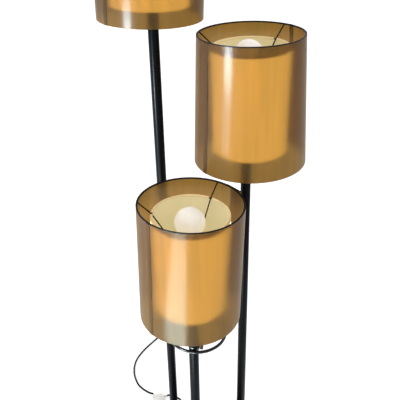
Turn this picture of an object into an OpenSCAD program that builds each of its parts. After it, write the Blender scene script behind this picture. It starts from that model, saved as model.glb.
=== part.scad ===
// Three-light floor lamp: three black poles of different heights on one round foot.
// Each pole ends in a lampholder with an opal globe, a wire spider, an opaque inner
// cylinder and a smoked film cylinder round it. Units are millimetres, +Z is up, and the
// origin is the point on the floor midway between the three poles. Low pole towards -Y.

/* [Poles] */
// Outer diameter of each pole
pole_d = 25; // [20:0.5:30]
// Wall of the pole tube
pole_wall = 1.2; // [0.8:0.1:2]
// Distance from the lamp's centre to each pole's centre
pole_circle_r = 124.5; // [100:0.5:128]
// Height of the low shade's rim above the floor
low_rim_z = 990; // [800:5:1200]
// Rise from one shade's rim to the next
rim_step = 332; // [320:1:400]

/* [Outer film shades] */
// Height of each film cylinder
film_h = 303; // [280:1:330]
// Inner diameter of each film cylinder at its top ring
film_top_d = 240; // [220:1:250]
// How much wider the low, middle and high film is at its bottom edge
film_flare = [1, 26, -4]; // [-6:1:30]
// Thickness of one sheet of film
film_t = 1; // [0.6:0.1:1.5]
// Width of the lap where the two half sheets are glued
film_lap_w = 12; // [6:1:20]
// Length of the low shade's back lap that has sprung off its neighbour
loose_lap_l = 34; // [20:1:40]

/* [Inner shades] */
// Outer diameter of each opaque inner cylinder at its rim
inner_d = 180; // [160:1:184]
// How much wider the low, middle and high inner cylinder is at its bottom edge
inner_flare = [-14, -4, -4]; // [-16:1:2]
// Distance from the film's rim down to the inner cylinder's rim
inner_drop = 28; // [20:1:40]
// Distance from the film's rim down to the inner cylinder's bottom edge
inner_bottom = 275; // [240:1:285]
// Wall of the inner cylinder
inner_t = 1; // [0.8:0.1:1.5]
// Thickness of the rolled rim
roll_d = 5.4; // [5:0.1:7]

/* [Spiders] */
// Diameter of the wire of the spider's two rings
wire_d = 3.4; // [3.2:0.1:4]
// Diameter of the wire of the spider's arms
arm_d = 3; // [2.4:0.1:3.1]
// Diameter of the wire in the inner cylinder's bottom edge
edge_wire_d = 2.5; // [2:0.1:3]
// Distance from the film's rim down to the top of the hub plate
hub_drop = 130; // [125:1:140]
// Outer diameter of the hub plate
hub_d = 56; // [52:1:60]
// Thickness of the hub plate
hub_t = 2; // [1.5:0.1:3]
// Compass angle of one arm of the low, middle and high spider
arm_angle = [188, 174, 180]; // [0:1:359]
// How far the second arm of the low, middle and high spider stands out of true
arm_skew = [0, -8.5, 0]; // [-10:0.5:10]
// Tilt of the low, middle and high shade, rim leaning towards +X
shade_lean = [1.7, -0.7, 1.7]; // [-2:0.1:2]
// Sideways set of the low, middle and high shade along X at its hub
shade_shift_x = [-0.5, 6, 0]; // [-8:0.5:8]
// Sideways set of the low, middle and high shade along Y at its hub
shade_shift_y = [0, -1, 0]; // [-8:0.5:8]

/* [Lampholders] */
// Outer diameter of the threaded skirt
skirt_d = 39.5; // [38:0.5:40]
// Outer diameter of the lampholder's body
holder_d = 42; // [41.5:0.5:44]
// Diameter of the flange that carries the hub plate
flange_d = 50; // [48:1:52]
// Height of the threaded skirt above the hub plate
skirt_h = 26; // [20:1:28]
// Outer diameter of the shade ring's grip
ring_grip_d = 47; // [44:0.5:47.5]
// Height of the shade ring
ring_h = 8; // [6:0.5:10]
// Length of each threaded nipple
nipple_l = 30; // [29:0.5:31]
// Outer diameter of the nipples' thread
nipple_d = 10; // [9.5:0.1:10.5]
// Bore of the nipples
nipple_bore = 8; // [7:0.1:8.2]

/* [Bulbs] */
// Diameter of the opal globe
globe_d = 70; // [60:1:80]
// Distance from the film's rim down to the globe's centre
globe_drop = 50; // [45:1:55]
// Diameter of the screw cap
cap_d = 26; // [25:0.1:26.2]
// Length of the screw cap
cap_l = 26; // [24:0.5:27]
// Length of the neck between the globe and the screw cap
neck_l = 11; // [8:0.5:14]

/* [Foot] */
// Outer diameter of the foot's cover
foot_d = 310; // [300:1:330]
// Height of the cover's top face above the floor
foot_h = 36; // [34:1:42]
// Wall of the pressed cover
cover_t = 1.5; // [1:0.1:2]
// Radius of the cover's upper edge
cover_edge_r = 6; // [3:0.5:8]
// Thickness of the felt
felt_t = 2; // [1:0.5:3]
// Thickness of the closing plate
plate_t = 1.5; // [1:0.1:2]
// Thickness of the cast weight above its recess
slab_t = 12.5; // [10:0.5:14]
// Width of the cast weight's outer rim
weight_rim_w = 13; // [12:0.5:14]
// Diameter of the junction box in the recess
junction_d = 36; // [30:1:40]
// Diameter of the two-core lead in each pole
lead_d = 5; // [4:0.1:6]

/* [Hoop] */
// Diameter of the hoop's round bar
hoop_bar_d = 8; // [6:0.5:10]
// Diameter of the hoop at the bar's centre line
hoop_d = 148; // [130:1:160]
// Height of the hoop above the floor
hoop_z = 565; // [500:5:600]
// Diameter of the hoop's thumb screw
knob_d = 14; // [12:0.5:16]
// Length of the thumb screw's grip
knob_l = 8.5; // [6:0.5:10]

/* [Cord] */
// Diameter of the mains cord
cord_d = 6.4; // [6:0.1:7]
// Height of the cord's outlet above the floor
gland_z = 9.5; // [9:0.5:12]
// Compass angle of the cord's outlet in the foot
gland_angle = 123; // [115:1:130]
// Radius of the coil's innermost turn
coil_in_r = 26; // [26:0.5:30]
// Turns of the coil beyond the last quarter turn
coil_turns = 6; // [4:2:8]

/* [Foot switch] */
// Width of the foot switch
switch_w = 44; // [40:1:50]
// Length of the foot switch
switch_l = 76; // [70:1:84]
// Height of the foot switch without its button
switch_h = 24; // [22:1:28]
// Diameter of the button
button_d = 30; // [26:1:34]
// Travel of the button
button_travel = 2.5; // [1.5:0.1:3]

/* [Plug] */
// Length of the plug's body
plug_l = 40; // [36:1:48]
// Width of the plug's body
plug_w = 36; // [34:1:40]
// Length of the plug's pins
pin_l = 19; // [18:0.5:20]

/* [Hidden] */

$fn = 96;
LOW = 0;
MID = 1;
HIGH = 2;
LAMPS = [LOW, MID, HIGH];

black = [0.09, 0.09, 0.1];
steel = [0.7, 0.7, 0.72];
brass = [0.8, 0.65, 0.35];
bakelite = [0.12, 0.11, 0.11];
smoke = [0.45, 0.33, 0.2, 0.6];
cream = [0.93, 0.82, 0.58];
opal = [0.96, 0.95, 0.93];
white = [0.93, 0.92, 0.9];

// Clearances: threads are drawn plain, so a screwed joint has this much play
thread_gap = 0.05;
seat_gap = 0.3;

// Poles
pole_bore = pole_d - 2 * pole_wall;
pole_angle = [-90, 30, 150];
function rim_z(i) = low_rim_z + i * rim_step;
function pole_xy(i) = pole_circle_r * [cos(pole_angle[i]), sin(pole_angle[i]), 0];
function hub_z(i) = rim_z(i) - hub_drop;

// Lampholder, measured down from the top of the hub plate
flange_t = 3;
body_drop = 18;
base_drop = 28;
dome_drop = 38;
cap_flange_t = 4;
cap_plug_l = 15;
insert_d = 35;
insert_h = 18;
shell_t = 0.9;
shell_h = 32;
tip_l = 3;
cup_floor_t = 2;
pole_top_drop = dome_drop + cap_flange_t;
nipple_top_drop = base_drop + 1;
nipple_drop = nipple_top_drop + nipple_l;
function pole_top(i) = hub_z(i) - pole_top_drop;

// Foot, from the floor up
plate_z = felt_t;
weight_z = plate_z + plate_t;
weight_top = foot_h - cover_t;
slab_z = weight_top - slab_t;
weight_d = foot_d - 2 * cover_t - 2 * seat_gap;
recess_d = weight_d - 2 * weight_rim_w;
washer_t = 1.5;
nut_h = 5;
nut_w = 14;
washer_d = nut_w + 6;
foot_nipple_z = slab_z - washer_t - nut_h - 0.5;
lead_z = 7.5;
plug_insert_l = 20;
screw_circle_r = weight_d / 2 - weight_rim_w / 2;
screw_angles = [90, 210, 330];

// Spider rings, measured down from the film's rim
outer_wire_r = film_top_d / 2 - wire_d / 2;
outer_wire_drop = wire_d / 2;
inner_wire_r = inner_d / 2 - inner_t - wire_d / 2;
inner_wire_drop = inner_drop + roll_d / 2;
function inner_edge_r(i) = (inner_d + inner_flare[i]) / 2;
function edge_wire_r(i) = inner_edge_r(i) - inner_t - edge_wire_d / 2 - thread_gap;
lean_towards = 10;
arm_inset = 2.8;
function arm_a(i, k) = arm_angle[i] + k * 120 + (k == 1 ? arm_skew[i] : 0);

// Laps of the two half sheets of the low, middle and high film: front-left and back-right
lap_angles = [[230, 50], [222, 42], [230, 50]];
loose_lap_angle = lap_angles[LOW][1];

// Hoop round the low pole's front, with its saddle on the pole
saddle_t = 2;
saddle_h = 16;
saddle_r = pole_d / 2 + thread_gap;
weld_in = 0.8;
hoop_y = -pole_circle_r - saddle_r - saddle_t + weld_in - hoop_bar_d / 2 + hoop_d / 2;
knob_z = hoop_z + 4;
knob_shank_d = 5;
knob_x = pole_d / 2 + saddle_t + seat_gap;

// Cord outlet
gland_flange_t = 2.5;
gland_sleeve_l = 25;
gland_dir = [cos(gland_angle), sin(gland_angle), 0];
gland_end = (foot_d / 2 + gland_flange_t + gland_sleeve_l) * gland_dir + [0, 0, gland_z];

// Foot switch: its middle, its turn and its two cord sleeves
switch_pos = [-177, 139, 0];
switch_turn = 30;
switch_cord_z = 8;
switch_split = 11;
switch_round = 8;
switch_wall = 2;
sleeve_l = 12;
mains_side_x = -10;
lamp_side_y = 30;
function turned(v, a) = [v[0] * cos(a) - v[1] * sin(a), v[0] * sin(a) + v[1] * cos(a), v[2]];
function switch_point(v) = switch_pos + turned(v, switch_turn);
switch_mains_dir = turned([0, 1, 0], switch_turn);
switch_lamp_dir = turned([1, 0, 0], switch_turn);
switch_mains_end = switch_point([mains_side_x, switch_l / 2 + sleeve_l, switch_cord_z]);
switch_lamp_end = switch_point([switch_w / 2 + sleeve_l, lamp_side_y, switch_cord_z]);

// Cord route on the floor, between the outlet, the switch and the coil
cord_r = cord_d / 2;
cord_z = cord_r;
lamp_route = [[-107, 165, 7.5], [-114, 175, 5], [-126, 183, cord_z], [-138, 186, 4]];
mains_route = [[-222, 186, 5], [-236, 192, cord_z], [-257, 203, cord_z], [-278, 220, cord_z],
               [-297, 249, cord_z], [-308, 275, cord_z], [-314, 305, cord_z],
               [-313, 338, cord_z], [-302, 375, cord_z], [-284, 414, cord_z],
               [-262, 455, cord_z], [-247, 490, cord_z], [-236, 530, cord_z],
               [-232, 570, cord_z]];
coil_pos = [-185, 610, 0];
coil_pitch = cord_d + 0.5;
coil_rise = cord_d + 0.5;
coil_half = (coil_turns + 0.25) / 2;
coil_out_r = coil_in_r + coil_pitch * coil_half;
coil_start_angle = 180;
coil_steps = 24;
coil_tail_l = 2.5 * cord_d;

// Plug on the coil's upper end
plug_z = cord_z + coil_rise;
plug_h = 2 * plug_z - 0.2;
plug_sleeve_l = 20;
pin_d = 4;
pin_gap = 18.6;

// ---------------------------------------------------------------- shared shapes

function unit(v) = v / norm(v);

// A straight round bar from one point to another
module bar(from, to, d) {
    run = to - from;
    flat = norm([run[0], run[1]]);
    translate(from)
        rotate([0, atan2(flat, run[2]), atan2(run[1], run[0])])
            cylinder(d = d, h = norm(run));
}

// A round wire bent to a closed ring
module wire_ring(r, d) {
    rotate_extrude()
        translate([r, 0]) circle(d = d, $fn = 32);
}

// A tube from inner to outer diameter
module sleeve(outer_d, bore_d, h) {
    difference() {
        cylinder(d = outer_d, h = h);
        translate([0, 0, -1]) cylinder(d = bore_d, h = h + 2);
    }
}

module at_pole(i, z) {
    translate(pole_xy(i) + [0, 0, z]) children();
}

// The frame of a shade: origin on its axis at the rim, tilted and set over as it hangs
module hang(i) {
    at_pole(i, hub_z(i))
        translate([shade_shift_x[i], shade_shift_y[i], 0])
            rotate(a = shade_lean[i], v = [-sin(lean_towards), cos(lean_towards), 0])
                translate([0, 0, hub_drop])
                    children();
}

// The same frame for a single point, with a rotation by Rodrigues' formula
function lean_point(p, i) =
    let (k = [-sin(lean_towards), cos(lean_towards), 0], a = shade_lean[i])
    p * cos(a) + cross(k, p) * sin(a) + k * (k * p) * (1 - cos(a));
function hang_point(p, i) =
    lean_point(p + [0, 0, hub_drop], i) + [shade_shift_x[i], shade_shift_y[i], 0];

// A smooth run through the route's points, so many steps to each
function curve_point(a, b, c, d, t) =
    0.5 * (2 * b + (c - a) * t + (2 * a - 5 * b + 4 * c - d) * t * t
           + (3 * b - a - 3 * c + d) * t * t * t);
function smooth(p, steps) =
    let (n = len(p) - 1)
    concat([p[0]], [for (i = [1 : n - 2], s = [0 : steps - 1])
                       curve_point(p[i - 1], p[i], p[i + 1], p[i + 2], s / steps)],
           [p[n - 1], p[n]]);

// Directions along a path, and the rings of points round it
function heading(p, i) = unit(p[min(i + 1, len(p) - 1)] - p[max(i - 1, 0)]);
function ring_points(at, along, r, sides) =
    let (side = unit(cross([0, 0, 1], along)), up = cross(along, side))
    [for (k = [0 : sides - 1])
        at + r * (cos(360 * k / sides) * side + sin(360 * k / sides) * up)];

// One closed tube along a path
module tube(path, r, sides) {
    n = len(path);
    points = [for (i = [0 : n - 1], q = ring_points(path[i], heading(path, i), r, sides)) q];
    walls = [for (i = [0 : n - 2], k = [0 : sides - 1])
                let (a = i * sides + k, b = i * sides + (k + 1) % sides)
                each [[a, a + sides, b + sides], [a, b + sides, b]]];
    first = [for (k = [1 : sides - 2]) [0, k, k + 1]];
    last = [for (k = [1 : sides - 2])
               [(n - 1) * sides, (n - 1) * sides + k + 1, (n - 1) * sides + k]];
    polyhedron(points = points, faces = concat(walls, first, last), convexity = 10);
}

// ---------------------------------------------------------------- one lamp

module pole(i) {
    color(black)
        difference() {
            at_pole(i, foot_h) sleeve(pole_d, pole_bore, pole_top(i) - foot_h);
            if (i == LOW)
                translate([0, -pole_circle_r, knob_z])
                    rotate([0, 90, 0]) cylinder(d = knob_shank_d + 2 * thread_gap, h = pole_d);
        }
}

// Wire spider: hub plate, three bent arms, a ring in the inner rim and a ring at the film
module spider(i) {
    color(black) {
        at_pole(i, hub_z(i) - hub_t)
            sleeve(hub_d, skirt_d + 1.1, hub_t);
        hang(i) {
            translate([0, 0, -outer_wire_drop]) wire_ring(outer_wire_r, wire_d);
            translate([0, 0, -inner_wire_drop]) wire_ring(inner_wire_r, wire_d);
        }
        at_pole(i, hub_z(i))
            for (k = [0 : 2]) {
                a = arm_a(i, k);
                out = [cos(a), sin(a), 0];
                root = (hub_d / 2 - arm_inset) * out - [0, 0, hub_t / 2];
                bend = hang_point(inner_wire_r * out - [0, 0, inner_wire_drop], i);
                tip = hang_point(outer_wire_r * out - [0, 0, outer_wire_drop], i);
                bar(root, bend, arm_d);
                bar(bend, tip, arm_d);
            }
    }
}

// Smoked film: two half sheets lapped along two seams
module film(i) {
    top_r = film_top_d / 2;
    foot_r = top_r + film_flare[i] / 2;
    lap_deg = film_lap_w / (top_r * PI) * 180;
    color(smoke)
        hang(i) {
            rotate_extrude($fn = 180)
                polygon([[top_r, 0], [top_r + film_t, 0],
                         [foot_r + film_t, -film_h], [foot_r, -film_h]]);
            for (a = lap_angles[i])
                rotate(a)
                    rotate_extrude(angle = lap_deg)
                        polygon([[top_r + film_t / 2, 0], [top_r + 2 * film_t, 0],
                                 [foot_r + 2 * film_t, -film_h], [foot_r + film_t / 2, -film_h]]);
            if (i == LOW)
                rotate(loose_lap_angle)
                    translate([top_r + 1.2 * film_t, -loose_lap_l, -film_h + 0.5])
                        cube([0.6 * film_t, loose_lap_l + 2, film_h - 1]);
        }
}

// Opaque inner cylinder, its rim rolled round the spider's ring and notched at the arms
module inner_shade(i) {
    r = inner_d / 2;
    notch_w = wire_d + 5;
    color(cream)
        hang(i)
            difference() {
                union() {
                    rotate_extrude()
                        polygon([[r - inner_t, -inner_wire_drop], [r, -inner_wire_drop],
                                 [inner_edge_r(i), -inner_bottom],
                                 [inner_edge_r(i) - inner_t, -inner_bottom]]);
                    translate([0, 0, -inner_wire_drop]) wire_ring(inner_wire_r, roll_d);
                }
                translate([0, 0, -inner_wire_drop])
                    wire_ring(inner_wire_r, wire_d + 2 * thread_gap);
                for (k = [0 : 2])
                    rotate(arm_a(i, k))
                        translate([r - 3 * roll_d, -notch_w / 2, -inner_drop - 2 * roll_d])
                            cube([4 * roll_d, notch_w, 3 * roll_d]);
            }
}

// Wire that keeps the inner cylinder's bottom edge round
module edge_wire(i) {
    color(black)
        hang(i)
            translate([0, 0, -inner_bottom + edge_wire_d / 2 + 0.5])
                wire_ring(edge_wire_r(i), edge_wire_d);
}

// Dome of the lampholder, screwed on the nipple
module holder_cap(i) {
    r = holder_d / 2;
    neck_r = 14;
    ledge_r = 12;
    wall = 3;
    seat_r = insert_d / 2 + seat_gap;
    thread_r = nipple_d / 2 + thread_gap;
    color(bakelite)
        at_pole(i, hub_z(i))
            rotate_extrude()
                polygon(concat(
                    [[thread_r, -dome_drop], [neck_r, -dome_drop]],
                    [for (a = [0 : 15 : 90])
                        [neck_r + (r - neck_r) * sin(a),
                         -base_drop - (dome_drop - base_drop) * cos(a)]],
                    [[r, -body_drop], [seat_r, -body_drop], [seat_r, -base_drop],
                     [ledge_r, -base_drop], [ledge_r, -dome_drop + wall],
                     [thread_r, -dome_drop + wall]]));
}

// Contact insert with its screw shell and centre tongue
module holder_insert(i) {
    shell_r = cap_d / 2 + seat_gap;
    cap_bottom = globe_drop + globe_d / 2 + neck_l + cap_l + tip_l;
    contact_top = hub_drop - cap_bottom + base_drop - seat_gap;
    color(brass)
        at_pole(i, hub_z(i) - base_drop) {
            difference() {
                union() {
                    cylinder(d = insert_d, h = insert_h);
                    cylinder(r = shell_r + shell_t, h = insert_h + shell_h);
                }
                translate([0, 0, insert_h - cup_floor_t]) cylinder(r = shell_r, h = shell_h + 3);
                for (x = [-9, 9])
                    translate([x, 0, -1]) cylinder(d = 3, h = 8, $fn = 24);
            }
            cylinder(d = 7, h = contact_top);
        }
}

// Threaded outer skirt with the flange that the hub plate lies on
module holder_skirt(i) {
    r = holder_d / 2;
    flange_z = -hub_t - flange_t;
    bore_r = cap_d / 2 + seat_gap + shell_t + 1.2;
    seat_r = insert_d / 2 + seat_gap;
    color(bakelite)
        at_pole(i, hub_z(i))
            rotate_extrude()
                polygon([[bore_r, -base_drop + insert_h], [bore_r, skirt_h],
                         [skirt_d / 2 - 0.8, skirt_h], [skirt_d / 2, skirt_h - 0.8],
                         [skirt_d / 2, -hub_t], [flange_d / 2, -hub_t],
                         [flange_d / 2, flange_z], [r, flange_z - 1.5], [r, -body_drop],
                         [seat_r, -body_drop], [seat_r, -base_drop + insert_h]]);
}

// Ring that clamps the hub plate, with flutes for the fingers
module shade_ring(i) {
    flutes = 18;
    color(bakelite)
        at_pole(i, hub_z(i))
            difference() {
                rotate_extrude()
                    polygon([[skirt_d / 2 + thread_gap, 0], [ring_grip_d / 2, 0],
                             [ring_grip_d / 2, ring_h - 2], [ring_grip_d / 2 - 2, ring_h],
                             [skirt_d / 2 + thread_gap, ring_h]]);
                for (k = [0 : flutes - 1])
                    rotate(k * 360 / flutes)
                        translate([ring_grip_d / 2 + 1, 0, -1])
                            cylinder(d = 4, h = ring_h + 2, $fn = 24);
            }
}

// Opal glass globe with its neck
module bulb_glass(i) {
    r = globe_d / 2;
    wall = 1;
    neck_r = cap_d / 2 - wall;
    neck_a = asin((neck_r - 0.5) / r);
    neck_z = -r * cos(neck_a);
    cap_top = -r - neck_l;
    color(opal)
        at_pole(i, rim_z(i) - globe_drop)
            rotate_extrude()
                polygon(concat(
                    [for (a = [0 : 5 : 175]) if (a < 180 - neck_a - 8) [r * sin(a), r * cos(a)]],
                    [[neck_r + 2.5, neck_z + 1], [neck_r + 0.3, neck_z - 5],
                     [neck_r, cap_top], [neck_r - wall, cap_top],
                     [neck_r + 0.3 - wall, neck_z - 5], [neck_r + 2.5 - wall, neck_z + 1]],
                    [for (a = [175 : -5 : 0]) if (a < 180 - neck_a - 8)
                        [(r - wall) * sin(a), (r - wall) * cos(a)]]));
}

// Screw cap of the bulb, with its insulator and centre contact
module bulb_cap(i) {
    r = cap_d / 2;
    top = -globe_d / 2 - neck_l;
    color(steel)
        at_pole(i, rim_z(i) - globe_drop)
            rotate_extrude()
                polygon([[0, top], [r, top], [r, top - cap_l + 4],
                         [r - 3, top - cap_l + 1], [4, top - cap_l - tip_l + 1],
                         [4, top - cap_l - tip_l], [0, top - cap_l - tip_l]]);
}

// Two-core lead from the junction box, up the pole and into the lampholder
module lead(i) {
    bend_r = 7;
    start_r = junction_d / 2;
    rise = hub_z(i) - base_drop - lead_z - bend_r;
    color(white)
        rotate(pole_angle[i]) {
            translate([start_r, 0, lead_z])
                rotate([0, 90, 0]) cylinder(d = lead_d, h = pole_circle_r - bend_r - start_r);
            translate([pole_circle_r - bend_r, 0, lead_z + bend_r])
                rotate([90, 90, 0])
                    rotate_extrude(angle = 90)
                        translate([bend_r, 0]) circle(d = lead_d);
            translate([pole_circle_r, 0, lead_z + bend_r]) cylinder(d = lead_d, h = rise);
        }
}

// ---------------------------------------------------------------- pole fittings

// Turned stops in the poles' upper ends
module pole_caps() {
    color(steel)
        for (i = LAMPS)
            at_pole(i, pole_top(i))
                difference() {
                    union() {
                        translate([0, 0, -cap_plug_l])
                            cylinder(d = pole_bore - 2 * thread_gap, h = cap_plug_l + 1);
                        cylinder(d = pole_d, h = cap_flange_t);
                    }
                    translate([0, 0, -cap_plug_l - 1])
                        cylinder(d = nipple_d + 2 * thread_gap, h = cap_plug_l + cap_flange_t + 2);
                }
}

// Threaded plugs pressed in the poles' lower ends
module pole_plugs() {
    color(steel)
        for (i = LAMPS)
            at_pole(i, foot_h)
                sleeve(pole_bore - 2 * thread_gap, nipple_d + 2 * thread_gap, plug_insert_l);
}

// Six equal nipples: three under the lampholders, three through the foot
module threaded_nipples() {
    color(brass)
        for (i = LAMPS) {
            at_pole(i, hub_z(i) - nipple_drop) sleeve(nipple_d, nipple_bore, nipple_l);
            at_pole(i, foot_nipple_z) sleeve(nipple_d, nipple_bore, nipple_l);
        }
}

module foot_washers() {
    color(steel)
        for (i = LAMPS)
            at_pole(i, slab_z - washer_t)
                sleeve(washer_d, nipple_d + 2 * seat_gap, washer_t);
}

module foot_nuts() {
    color(brass)
        for (i = LAMPS)
            at_pole(i, slab_z - washer_t - nut_h)
                difference() {
                    cylinder(d = nut_w / cos(30), h = nut_h, $fn = 6);
                    translate([0, 0, -1]) cylinder(d = nipple_d + 2 * thread_gap, h = nut_h + 2);
                }
}

// ---------------------------------------------------------------- foot

// Pressed steel cover with a rounded upper edge
module foot_cover() {
    r = foot_d / 2;
    inner_edge_r = cover_edge_r - cover_t;
    color(black)
        difference() {
            rotate_extrude($fn = 180)
                polygon(concat(
                    [[0, foot_h - cover_t], [0, foot_h]],
                    [for (a = [90 : -15 : 0])
                        [r - cover_edge_r + cover_edge_r * cos(a),
                         foot_h - cover_edge_r + cover_edge_r * sin(a)]],
                    [[r, felt_t], [r - cover_t, felt_t]],
                    [for (a = [0 : 15 : 90])
                        [r - cover_edge_r + inner_edge_r * cos(a),
                         foot_h - cover_edge_r + inner_edge_r * sin(a)]]));
            for (i = LAMPS)
                at_pole(i, 0) cylinder(d = nipple_d + 2 * seat_gap, h = foot_h + 1);
            translate([0, 0, gland_z])
                rotate([0, 90, gland_angle]) cylinder(d = cord_d + 4, h = foot_d);
        }
}

// Cast weight: a slab with a deep rim, so that the wiring has room below it
module foot_weight() {
    r = weight_d / 2;
    edge = cover_edge_r;
    color([0.3, 0.3, 0.32])
        difference() {
            rotate_extrude($fn = 180)
                polygon([[0, slab_z], [0, weight_top], [r - edge, weight_top],
                         [r, weight_top - edge], [r, weight_z],
                         [recess_d / 2, weight_z], [recess_d / 2, slab_z - 4],
                         [recess_d / 2 - 4, slab_z]]);
            for (i = LAMPS) {
                at_pole(i, 0) cylinder(d = nipple_d + 2 * seat_gap, h = foot_h + 1);
                at_pole(i, 0) cylinder(d = washer_d + 2 * seat_gap, h = slab_z);
            }
            for (a = screw_angles)
                rotate(a) translate([screw_circle_r, 0, 0]) cylinder(d = 4 + 2 * thread_gap, h = 15);
            translate([0, 0, gland_z])
                rotate([0, 90, gland_angle]) cylinder(d = cord_d + 5, h = foot_d);
        }
}

module foot_plate() {
    color(steel)
        translate([0, 0, plate_z])
            difference() {
                cylinder(d = weight_d, h = plate_t, $fn = 180);
                for (a = screw_angles)
                    rotate(a) translate([screw_circle_r, 0, -1]) cylinder(d = 8.2, h = plate_t + 2);
            }
}

module foot_felt() {
    color([0.15, 0.15, 0.16])
        cylinder(d = foot_d - 4, h = felt_t, $fn = 180);
}

// Flat-headed screws through the closing plate
module plate_screws() {
    color(steel)
        for (a = screw_angles)
            rotate(a)
                translate([screw_circle_r, 0, plate_z]) {
                    cylinder(d1 = 8, d2 = 4, h = plate_t);
                    cylinder(d = 4, h = 11);
                }
}

// Round box where the mains cord meets the three leads
module junction_box() {
    color(white)
        translate([0, 0, weight_z + seat_gap])
            difference() {
                cylinder(d = junction_d, h = slab_z - weight_z - seat_gap);
                for (k = [0 : 2])
                    rotate(k * 120)
                        translate([junction_d / 4, 0, -1]) cylinder(d = 4.5, h = 3, $fn = 24);
            }
}

// Moulded strain relief with the cord's tail to the junction box
module cord_gland() {
    wall_r = foot_d / 2;
    tail_start = junction_d / 2;
    barrel_d = cord_d + 3.9;
    color(black)
        translate([0, 0, gland_z])
            rotate([0, 90, gland_angle]) {
                translate([0, 0, tail_start]) cylinder(d = cord_d, h = wall_r - tail_start);
                translate([0, 0, wall_r - cover_t - 4]) cylinder(d = barrel_d, h = cover_t + 5);
                translate([0, 0, wall_r + 0.2]) cylinder(d = cord_d + 7, h = gland_flange_t - 0.2);
                translate([0, 0, wall_r + gland_flange_t])
                    cylinder(d1 = cord_d + 4, d2 = cord_d + 1.6, h = gland_sleeve_l);
            }
}

// ---------------------------------------------------------------- hoop

// Round bar bent to a hoop, with a saddle that lies on the low pole's front and side
module hoop() {
    color(black) {
        translate([0, hoop_y, hoop_z]) wire_ring(hoop_d / 2, hoop_bar_d);
        difference() {
            translate([0, -pole_circle_r, hoop_z - saddle_h / 2 + 2])
                rotate(-120)
                    rotate_extrude(angle = 140)
                        translate([saddle_r, 0]) square([saddle_t, saddle_h]);
            translate([0, -pole_circle_r, knob_z])
                rotate([0, 90, 0]) cylinder(d = knob_shank_d + 2 * seat_gap, h = pole_d);
        }
    }
}

// Thumb screw: fluted grip, collar and shank
module hoop_knob() {
    flutes = 12;
    collar_l = 1.5;
    shank_l = saddle_t + seat_gap + pole_wall + 2.5;
    color([0.2, 0.1, 0.07])
        translate([knob_x, -pole_circle_r, knob_z])
            rotate([0, 90, 0]) {
                translate([0, 0, -shank_l]) cylinder(d = knob_shank_d, h = shank_l + 1);
                cylinder(d = knob_d - 4, h = collar_l);
                difference() {
                    translate([0, 0, collar_l])
                        rotate_extrude()
                            polygon([[0, 0], [knob_d / 2, 0], [knob_d / 2, knob_l - 2],
                                     [knob_d / 2 - 1.5, knob_l], [0, knob_l]]);
                    for (k = [0 : flutes - 1])
                        rotate(k * 360 / flutes)
                            translate([knob_d / 2 + 0.6, 0, collar_l - 1])
                                cylinder(d = 2.4, h = knob_l + 2, $fn = 24);
                }
            }
}

// ---------------------------------------------------------------- cord

// The route of each free stretch, square to what it meets at both ends
lamp_path = smooth(concat([gland_end, gland_end + cord_d * gland_dir], lamp_route,
                          [switch_lamp_end + cord_d * switch_lamp_dir, switch_lamp_end]), 1);
coil_start = coil_pos + [-coil_out_r, -cord_d, cord_z];
mains_path = smooth(concat([switch_mains_end, switch_mains_end + cord_d * switch_mains_dir],
                           mains_route, [coil_start - [0, cord_d, 0], coil_start]), 2);

module cord_lamp() {
    color(black) tube(lamp_path, cord_r, 8);
}

module cord_mains() {
    color(black) tube(mains_path, cord_r, 8);
}

// Coil: in along the lower layer, up a layer where the spiral reverses, and out again
function coil_r(t) = coil_in_r + coil_pitch * abs(t - coil_half);
function coil_lift(t) = coil_rise * min(1, max(0, (t - coil_half) * 2 + 0.5));
function coil_point(t) =
    let (a = coil_start_angle - 360 * t)
    coil_pos + [coil_r(t) * cos(a), coil_r(t) * sin(a), cord_z + coil_lift(t)];
coil_count = round(2 * coil_half * coil_steps);
coil_loops = [for (k = [0 : coil_count]) coil_point(k / coil_steps)];
coil_end = coil_loops[coil_count] + [coil_tail_l, 0, 0];
coil_path = concat([coil_start], coil_loops, [coil_end]);
coil_gap = min([for (a = [0 : coil_count], b = [a + 8 : 1 : coil_count])
                   norm(coil_loops[a] - coil_loops[b])]) - cord_d;
echo(coil_least_gap = coil_gap);

module cord_coil() {
    color(black) tube(coil_path, cord_r, 6);
}

// ---------------------------------------------------------------- foot switch

module at_switch(z) {
    translate(switch_pos + [0, 0, z]) rotate(switch_turn) children();
}

// A block with rounded upright edges
module rounded_block(w, l, h, r) {
    hull()
        for (x = [-w / 2 + r, w / 2 - r], y = [-l / 2 + r, l / 2 - r])
            translate([x, y, 0]) cylinder(r = r, h = h, $fn = 32);
}

// Lower shell with the two cord sleeves
module switch_base() {
    color(white)
        at_switch(0) {
            difference() {
                rounded_block(switch_w, switch_l, switch_split, switch_round);
                translate([0, 0, switch_wall])
                    rounded_block(switch_w - 2 * switch_wall, switch_l - 2 * switch_wall,
                                  switch_split, switch_round - switch_wall);
            }
            translate([mains_side_x, switch_l / 2 - 1, switch_cord_z])
                rotate([-90, 0, 0]) cylinder(d1 = 10, d2 = 8, h = sleeve_l + 1);
            translate([switch_w / 2 - 1, lamp_side_y, switch_cord_z])
                rotate([0, 90, 0]) cylinder(d1 = 10, d2 = 8, h = sleeve_l + 1);
        }
}

// Upper shell: sides that draw in a little to a flat top, with a round hole
module switch_top() {
    draw_in = 2;
    top_h = switch_h - switch_split;
    color(white)
        at_switch(switch_split)
            difference() {
                hull() {
                    rounded_block(switch_w, switch_l, 5, switch_round);
                    rounded_block(switch_w - 2 * draw_in, switch_l - 2 * draw_in, top_h,
                                  switch_round);
                }
                translate([0, 0, -1])
                    rounded_block(switch_w - 8, switch_l - 8, top_h - switch_wall + 1,
                                  switch_round - switch_wall);
                cylinder(d = button_d + 1, h = top_h + 1);
            }
}

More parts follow.
